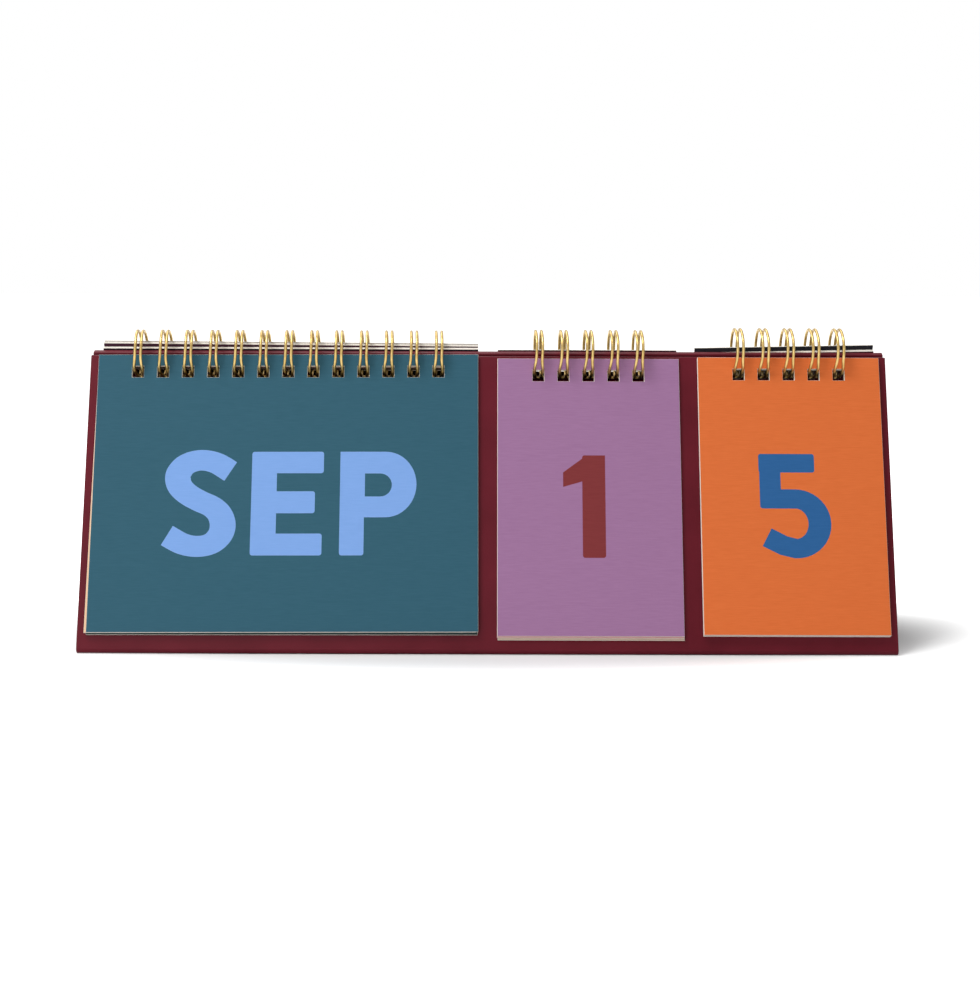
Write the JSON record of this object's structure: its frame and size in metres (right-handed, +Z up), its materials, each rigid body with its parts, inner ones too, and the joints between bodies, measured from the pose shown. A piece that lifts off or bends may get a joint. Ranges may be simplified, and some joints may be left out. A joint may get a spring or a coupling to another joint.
{
  "type": "perpetual desk calendar",
  "caption": "Tent-shaped desk calendar: a wrapped board stand whose ridge carries wire-bound pads of month, tens and units cards that flip over the top.",
  "frame": {"origin": "middle of the stand's underside, on the desk", "axes": "+X along the stand to the right as the calendar is read, -Y towards the reader, +Z up"},
  "size_m": [0.27, 0.0751, 0.1048],
  "materials": {
    "burgundy_cover": "fine-grained burgundy bookbinding cover with a low satin sheen",
    "greyboard": "plain grey bookbinding board",
    "lining_paper": "matt burgundy lining paper",
    "gold_wire": "bright gold-coloured wire",
    "teal_card": "linen-embossed card, teal print, off-white reverse",
    "mauve_card": "linen-embossed card, mauve print, off-white reverse",
    "orange_card": "linen-embossed card, orange print, off-white reverse",
    "waiting_card": "linen-embossed card, coloured print, cream cut edges",
    "turned_card": "plain off-white reverse of a printed card"
  },
  "bodies": {
    "stand": {"front_board": "greyboard", "back_board": "greyboard", "base_board": "greyboard", "cover_wrap": "burgundy_cover", "lining": "lining_paper", "month_wire": "gold_wire", "tens_wire": "gold_wire", "units_wire": "gold_wire", "month_card_jan": "turned_card", "month_card_feb": "turned_card", "month_card_mar": "turned_card", "month_card_apr": "turned_card", "month_card_may": "turned_card", "month_card_jun": "turned_card", "month_card_jul": "turned_card", "month_card_oct": "waiting_card", "month_card_nov": "waiting_card", "month_card_dec": "waiting_card", "tens_card_2": "waiting_card", "tens_card_3": "waiting_card", "units_card_0": "turned_card", "units_card_1": "turned_card", "units_card_2": "turned_card", "units_card_3": "turned_card", "units_card_6": "waiting_card", "units_card_7": "waiting_card", "units_card_8": "waiting_card", "units_card_9": "waiting_card"},
    "month_front_card": {"month_card_sep": "teal_card"},
    "month_turned_card": {"month_card_aug": "turned_card"},
    "tens_front_card": {"tens_card_1": "mauve_card"},
    "tens_turned_card": {"tens_card_0": "turned_card"},
    "units_front_card": {"units_card_5": "orange_card"},
    "units_turned_card": {"units_card_4": "turned_card"}
  },
  "joints": [
    {"name": "month_front_flip", "type": "hinge", "parent": "stand", "child": "month_front_card", "pos_m": [-0.06773, -0.00065, 0.09637], "axis": [-1, 0, 0], "range_deg": [0, 110]},
    {"name": "month_turned_flip", "type": "hinge", "parent": "stand", "child": "month_turned_card", "pos_m": [-0.06773, -0.00065, 0.09637], "axis": [1, 0, 0], "range_deg": [0, 60]},
    {"name": "tens_front_flip", "type": "hinge", "parent": "stand", "child": "tens_front_card", "pos_m": [0.03387, -0.00105, 0.09637], "axis": [-1, 0, 0], "range_deg": [0, 110]},
    {"name": "tens_turned_flip", "type": "hinge", "parent": "stand", "child": "tens_turned_card", "pos_m": [0.03387, -0.00105, 0.09637], "axis": [1, 0, 0], "range_deg": [0, 60]},
    {"name": "units_front_flip", "type": "hinge", "parent": "stand", "child": "units_front_card", "pos_m": [0.1016, -0.00135, 0.09677], "axis": [-1, 0, 0], "range_deg": [0, 110]},
    {"name": "units_turned_flip", "type": "hinge", "parent": "stand", "child": "units_turned_card", "pos_m": [0.1016, -0.00135, 0.09677], "axis": [1, 0, 0], "range_deg": [0, 60]}
  ]
}
